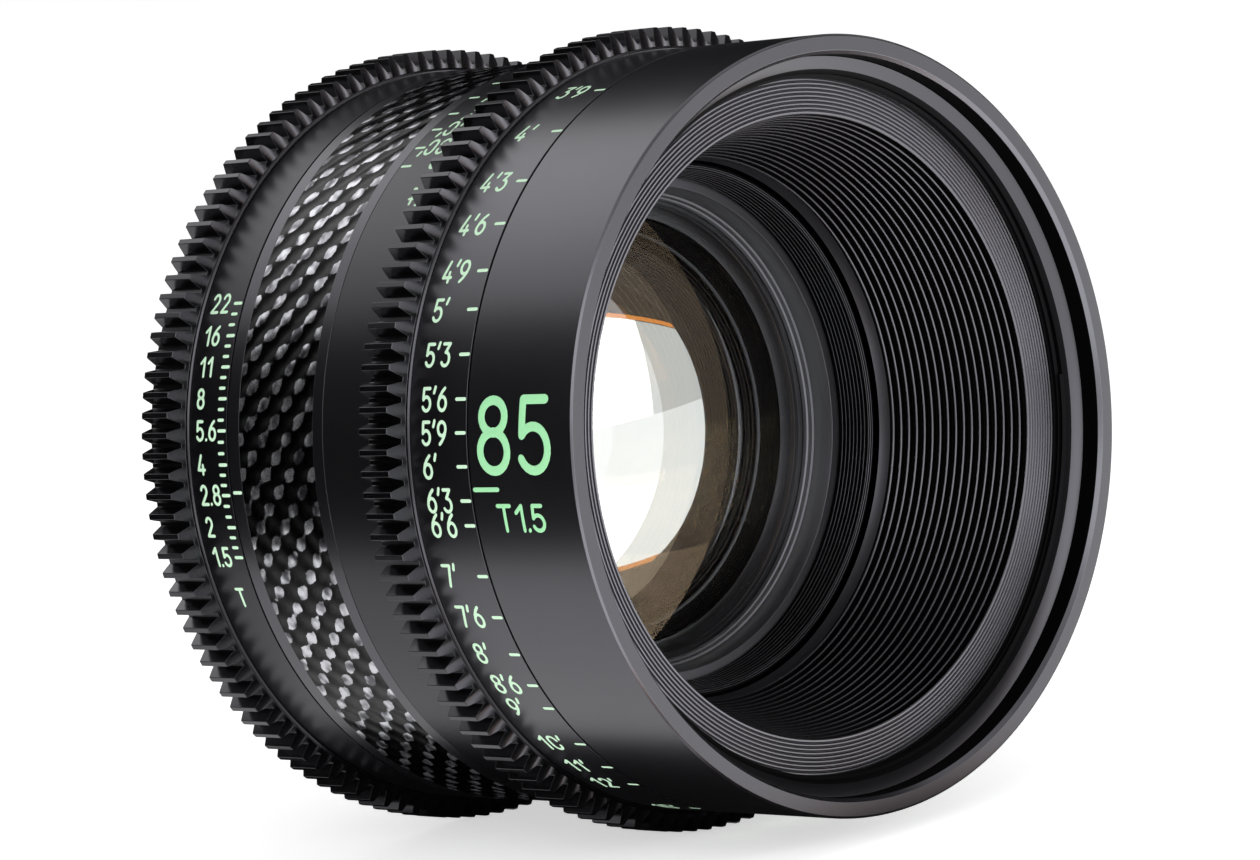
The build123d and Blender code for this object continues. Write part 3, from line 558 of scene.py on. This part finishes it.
def painted(name, marks, radius, material, body):
    """One painted object from marks: strokes, their width, station, angle and reading side."""
    longest = 0.6
    curve = bpy.data.curves.new(name, "CURVE")
    curve.dimensions = "3D"
    curve.bevel_depth = 0.5 * mm
    curve.bevel_resolution = 1
    for strokes, width, station, angle, side in marks:
        half = width / 2
        for ends in (run for points in strokes for run in straight_runs(points)):
            ends = [
                first.lerp(second, step / count) for first, second in zip(ends, ends[1:])
                for count in [max(1, round((second - first).length / longest))]
                for step in range(count)] + ends[-1:]
            start = (ends[0] - ends[1]).normalized() * half
            finish = (ends[-1] - ends[-2]).normalized() * half
            line = [(ends[0] + start * reach, size) for reach, size in ((0.98, 0.15), (0.7, 0.7))]
            line += [(end, 1.0) for end in ends]
            line += [(ends[-1] + finish * reach, size) for reach, size in ((0.7, 0.7), (0.98, 0.15))]
            spline = curve.splines.new("POLY")
            spline.points.add(len(line) - 1)
            for point, (place, size) in zip(spline.points, line):
                along = station - side * place.x
                round_about = radius * radians(angle) + side * place.y
                point.co = (along * mm, round_about * mm, 0, 1)
                point.radius = size * width
    flat = bpy.data.objects.new(name, curve)
    scene.collection.objects.link(flat)
    bpy.context.view_layer.update()
    bm = bmesh.new()
    shaped = flat.evaluated_get(bpy.context.evaluated_depsgraph_get())
    bm.from_mesh(bpy.data.meshes.new_from_object(shaped))
    bpy.data.objects.remove(flat)
    bmesh.ops.remove_doubles(bm, verts=bm.verts, dist=1e-7)
    for vert in bm.verts:
        along, round_about, rise = vert.co
        turn = round_about / (radius * mm)
        height = radius * mm + rise * 0.08
        vert.co = (-height * cos(turn), front_y + along, height * sin(turn))
    bmesh.ops.recalc_face_normals(bm, faces=bm.faces)
    return finished(name, bm, 0, material, body)


def tick(length):
    """One straight stroke, drawn towards the front."""
    return [[(0.0, 0.0), (length, 0.0)]]


def paint(name, colour):
    """Epoxy fill: a matte, slightly uneven colour."""
    material, tree, shader = principled(name, {"Roughness": 0.55, "Specular IOR Level": 0.3})
    patches = noise(tree, add(tree, "TexCoord", {}), 0.4, 2.0)
    tone = mixed(tree, patches, shaded(colour, 0.93), linear(colour))
    tree.links.new(tone, shader.inputs["Base Color"])
    return material


# Filled cuts: flat green on the barrel and a paler, almost white green on the scales.
green_fill = paint("glow_green_epoxy_fill", "#a5ebb0")
pale_fill = paint("pale_green_epoxy_fill", "#d3f7d6")
big_stroke, small_stroke = 1.12, 0.42
front_marks = []
for angle, side in ((0.0, 1), (180.0, -1)):
    start = 16.2 if side > 0 else 4.0
    figures = lettering("85", 9.4, big_stroke, 1.12)
    front_marks.append((figures, big_stroke, start, angle + side * 2.15, side))
    start = 17.2 if side > 0 else 13.2
    front_marks.append((tick(4.0), 0.55, start, angle + 0.2, side))
    start = 13.9 if side > 0 else 5.9
    front_marks.append((lettering("T1.5", 3.45, 0.5, 1.25), 0.5, start, angle - side * 6.0, side))
painted("front_barrel_figures", front_marks, rim_r, green_fill, "barrel")


# Focus scale ring
# The front of the focus ring, satin anodised as the barrel is, with the distances in feet.
# The same distances stand half a turn round on the rear sleeve, for the second operator.
turned("focus_scale_shell", [
    (45.55, 17.95), (rim_r, 17.95), (rim_r, 27.8), (45.55, 27.8),
], 0.05, satin_anodised, "focus_ring", "focus_scale_ring")
distances = {
    "3'9": 68.1, "4'": 57.4, "4'3": 47.2, "4'6": 39.6, "4'9": 32.0, "5'": 26.1, "5'3": 19.5,
    "5'6": 13.1, "5'9": 8.3, "6'": 3.5, "6'3": -1.4, "6'6": -5.0, "7'": -12.6, "7'6": -19.1,
    "8'": -25.4, "8'6": -31.1, "9'": -35.7, "10'": -43.9, "11'": -50.3, "12'": -56.2, "15'": -69.5,
    "20'": -83.3, "25'": -91.8, "30'": -97.6, "40'": -105.2, "50'": -110.5, "70'": -115.4,
    "100'": -119.6, "200'": -124.0, "~": -128.0, "ft": -134.4,
}
scale_marks, second_marks = [], []
for label, angle in distances.items():
    half_height = degrees(1.5 / rim_r)
    figures = lettering(label, 3.05, small_stroke)
    if label != "ft":
        scale_marks.append((tick(1.5), 0.42, 19.75, angle, 1))
        second_marks.append((tick(1.5), 0.4, 41.9, angle + 180, -1))
    scale_marks.append((figures, small_stroke, 25.9, angle - half_height, 1))
    second_marks.append((figures, small_stroke, 35.4, angle + 180 + half_height, -1))
painted("focus_scale_figures", scale_marks, rim_r, pale_fill, "focus_ring")


# Focus gear and rear sleeve
# The follow-focus gear has 124 teeth of 0.8 module, hobbed and then bevelled at the front.
# Behind it runs a smooth sleeve with the second scale.
# Cut after blasting, so the flanks flash in thin lines and the gaps go black.
gear_anodised = surface("hobbed_black_anodised_aluminium", "#050506", 0.22, 0.5, 0.16, 0.01)
teeth = 124
tip_r, pitch_r, root_r = 50.39, 49.6, 48.6
front_bevel, rear_bevel = 0.65, 0.3
# Each tooth as eight columns: degrees from its middle and the radius there.
tooth_columns = ((-1.12, root_r), (-0.73, pitch_r), (-0.40, tip_r), (0.0, tip_r),
                 (0.40, tip_r), (0.73, pitch_r), (1.12, root_r), (180 / teeth, root_r))


def geared_ring(name, start, end, body, node):
    """A blank of the teeth's columns, each of which is then moved out to the tooth's outline."""
    bm = bmesh.new()
    profile(bm, [(45.55, start), (rim_r + 0.2, start), (rim_r + 0.4, start + 0.2),
                 (rim_r + 0.4, start + 0.45), (tip_r, start + 0.45), (tip_r, end), (45.55, end)])
    columns = len(tooth_columns)
    spun(bm, teeth * columns)
    for vert in bm.verts:
        radius = sqrt(vert.co.x ** 2 + vert.co.z ** 2) / mm
        count = round(atan2(vert.co.z, vert.co.x) / (2 * pi) * teeth * columns)
        tooth, column = divmod(count, columns)
        lean, outer_r = tooth_columns[column]
        turn = radians(tooth * 360 / teeth + lean)
        station = (vert.co.y - front_y) / mm
        if radius > root_r:
            radius = outer_r
            rise = (outer_r - root_r) / (tip_r - root_r)
            station += front_bevel * rise if station < (start + end) / 2 else -rear_bevel * rise
        vert.co = (radius * mm * cos(turn), front_y + station * mm, radius * mm * sin(turn))
    return finished(name, bm, 0.07, gear_anodised, body, node)


# A darker satin, which sets the rear rings off from the front barrel.
sleeve_anodised = surface("dark_satin_anodised_aluminium", "#060608", 0.32, 0.46, 0.16, 0.01)
geared_ring("focus_gear_teeth", 27.8, 34.2, "focus_ring", "focus_gear")
turned("focus_rear_shell", [
    (45.55, 34.2), (rim_r, 34.2), (rim_r, 43.8), (45.55, 43.8),
], 0.05, sleeve_anodised, "focus_ring", "focus_rear_sleeve")
painted("focus_second_figures", second_marks, rim_r, pale_fill, "focus_ring")


# Carbon sleeve
# A fixed band of plain-woven carbon fibre under clear resin, ended in front by a bevelled
# aluminium ring. Tows that run along the lens flash; those that run round it are painted shade, near
# black.
turned("sleeve_end_shell", [
    (45.93, 44.1), (rim_r - 0.15, 44.1), (rim_r, 45.8), (45.93, 45.8),
], 0.05, satin_anodised, "barrel", "sleeve_end_ring")
turned("carbon_sleeve_tube", [(45.93, 45.8), (47.42, 45.8), (47.42, 59.9), (45.93, 59.9)],
       0.02, satin_anodised, "barrel", "carbon_sleeve")
# Carbon fibre under resin: bright slanted crowns, frayed and of uneven brightness, on near black that
# is painted shade.
weave, tree, shader = principled("woven_carbon_with_painted_shade", {
    "Metallic": 0.93, "Roughness": 0.26, "Specular IOR Level": 0.12,
    "Coat Weight": 0.06, "Coat Roughness": 0.1})
place = add(tree, "TexCoord", {})
axes = add(tree, "SeparateXYZ", {"Vector": place.outputs["Object"]})
turn = calc(tree, "ARCTAN2", axes.outputs["Z"], calc(tree, "MULTIPLY", axes.outputs["X"], -1.0))
# A crown repeats every 4.5 mm along the lens and every second row, with 138 rows in a turn.
crown_pitch = 4.5
rows_per_turn = 138
along = calc(tree, "MULTIPLY", axes.outputs["Y"], 2 * pi / (crown_pitch * mm))
along = calc(tree, "ADD", along, span(tree, noise(tree, place, 6, 2.0), -0.9, 0.9))
round_about = calc(tree, "MULTIPLY", turn, rows_per_turn / 2)
level = calc(tree, "MULTIPLY", calc(tree, "COSINE", along), calc(tree, "COSINE", round_about))
slant = calc(tree, "MULTIPLY", calc(tree, "SINE", along), calc(tree, "SINE", round_about))
check = calc(tree, "MULTIPLY_ADD", slant, -0.3, level)
fray = span(tree, noise(tree, place, 0.9, 2.0), -0.50, 0.40)
crown = span(tree, calc(tree, "ADD", check, fray), 0.0, 1.0, start=0.26, end=0.38)
under = span(tree, check, 0.0, 0.02, start=-0.45, end=-0.7)
shade = span(tree, noise(tree, place, 1.8, 1.0), 0.0, 1.0, start=0.36, end=0.64)
fibre = mixed(tree, shade, linear("#55555b"), linear("#d0d0d6"))
# Between the crowns the round-running tows are painted near black: painted shade.
tone = mixed(tree, calc(tree, "MAXIMUM", crown, under), linear("#040405"), fibre)
tree.links.new(tone, shader.inputs["Base Color"])
bumps = add(tree, "Bump", {"Height": check, "Strength": 1.0, "Distance": 0.09 * mm})
tree.links.new(bumps.outputs["Normal"], shader.inputs["Normal"])


def dress(piece, material):
    """One material in place of those that a piece has."""
    piece.data.materials.clear()
    piece.data.materials.append(material)


dress(bpy.data.objects["carbon_sleeve_tube"], weave)


# Index ring, iris scale ring and iris gear
# A narrow fixed ring carries the iris index. The ring behind it turns, with the second gear, and
# carries the T-stops, with two short ticks for the thirds between each pair.
turned("index_ring_shell", [
    (43.55, 56.3), (45.88, 56.3), (45.88, 59.9), (rim_r - 0.1, 59.95), (rim_r, 61.9), (43.55, 61.9),
], 0.05, satin_anodised, "barrel", "index_ring")
geared_ring("iris_gear_teeth", 69.3, 75.7, "iris_ring", "iris_gear")
turned("iris_scale_shell", [
    (45.55, 62.2), (rim_r, 62.2), (rim_r, 69.3), (45.55, 69.3),
], 0.05, sleeve_anodised, "iris_ring", "iris_scale_ring")
stops = {
    "22": 28.8, "16": 23.7, "11": 18.9, "8": 14.1, "5.6": 9.3, "4": 4.2, "2.8": -0.4, "2": -5.3,
    "1.5": -10.0,
}
iris_marks, index_marks = [], []
for base, side in ((0.0, 1), (180.0, -1)):
    tick_front = 63.75 if side > 0 else 62.6
    figure_edge = 68.15 if side > 0 else 64.4
    half_height = degrees(1.3 / rim_r)
    places = list(stops.values())
    for label, angle in stops.items():
        turn = base + angle
        iris_marks.append((tick(1.25), 0.42, tick_front, turn, side))
        figures = lettering(label, 2.7, 0.4)
        iris_marks.append((figures, 0.4, figure_edge, turn - side * half_height, side))
    for high, low in zip(places, places[1:]):
        for share in (1 / 3, 2 / 3):
            iris_marks.append((tick(0.85), 0.4, tick_front, base + high + (low - high) * share, side))
    figures = lettering("T", 2.7, 0.4)
    turn = base - 16.6 - side * half_height
    iris_marks.append((figures, 0.4, figure_edge - side * 2.2, turn, side))
    index_marks.append((tick(1.3), 0.42, 61.5 if side > 0 else 60.1, base, side))
painted("iris_scale_figures", iris_marks, rim_r, pale_fill, "iris_ring")
painted("iris_index_marks", index_marks, rim_r, pale_fill, "barrel")


# Camera mount
# The tapered rear shell is anodised as the barrel is. The flange, its shim and the locating
# spigot are machined from stainless steel, and six black socket-head screws hold the flange.
# Machined steel, the one bright metal at the back.
steel = surface("machined_stainless_steel", "#b4b4b1", 0.26, 0.5, 0.3, 0.001, metallic=1.0)
dress(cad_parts["rear_housing"], satin_anodised)
for name in ("mount_flange", "mount_spigot", "mount_shim"):
    dress(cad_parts[name], steel)
flange_back = 89.0
screws, screw_circle_r, head_r, head_rise, socket_half = 6, 28.7, 1.25, 0.12, 0.55
bm = bmesh.new()
for screw in range(screws):
    turn = radians(30 + 360 / screws * screw)
    middle = Vector((-screw_circle_r * mm * cos(turn), front_y + (flange_back + head_rise / 2) * mm,
                     screw_circle_r * mm * sin(turn)))
    head = bmesh.ops.create_cone(
        bm, cap_ends=True, segments=24, radius1=head_r * mm, radius2=head_r * mm,
        depth=2 * head_rise * mm,
        matrix=Matrix.Translation(middle) @ Matrix.Rotation(radians(-90), 4, "X"))
    top = max((face for face in bm.faces if all(v in head["verts"] for v in face.verts)),
              key=lambda face: face.calc_center_median().y)
    bmesh.ops.inset_region(bm, faces=[top], thickness=0.5 * mm)
    for vert in top.verts:
        arm = vert.co - middle
        lean = atan2(arm.z, arm.x) % radians(60) - radians(30)
        reach = Vector((arm.x, 0, arm.z)).normalized() * (socket_half * mm / cos(lean))
        vert.co = middle + reach + Vector((0, arm.y, 0))
    socket = bmesh.ops.extrude_face_region(bm, geom=[top])
    floor_verts = [item for item in socket["geom"] if isinstance(item, bmesh.types.BMVert)]
    bmesh.ops.translate(bm, verts=floor_verts, vec=(0, -head_rise * mm, 0))
    bmesh.ops.delete(bm, geom=[top], context="FACES_ONLY")
# Blackened steel: dark heads with a metal gleam.
screw_black = surface("blackened_screw_steel", "#38383a", 0.30, 0.5, 0.3, 0.0, metallic=1.0)
heads = finished("flange_screws", bm, 0, screw_black, "barrel")
# The socket floors are dead black: painted shade.
repaint(heads, dead_black_and_painted_shade, lambda radius, station, facing: (
    station < flange_back + 0.07 and facing < -0.9))


# Works inside the barrel
# Tubes, carriage, cells and iris cup are aluminium in dull black paint. The rollers and the iris
# drive pin are ground steel, and the blades are thin spring steel with a dry black finish.
# Dry black on the blades, bright ground rollers, and dull paint that stops stray light.
blade_black = surface("blackened_spring_steel", "#020101", 0.5, 0.0, 0.3, 0.0)
roller_steel = surface("ground_roller_steel", "#8e8e8e", 0.25, 0.5, 0.3, 0.01, metallic=1.0)
flocked_black = surface("stray_light_black_paint", "#010101", 0.5, 0.04, 0.2, 0.0)
for name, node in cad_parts.items():
    if node.data.materials and node.data.materials[0] in (satin_anodised, sleeve_anodised, steel):
        continue
    if name.startswith("iris_blade"):
        dress(node, blade_black)
    elif name.startswith("focus_roller") or name == "iris_drive_pin":
        dress(node, roller_steel)
    else:
        dress(node, flocked_black)
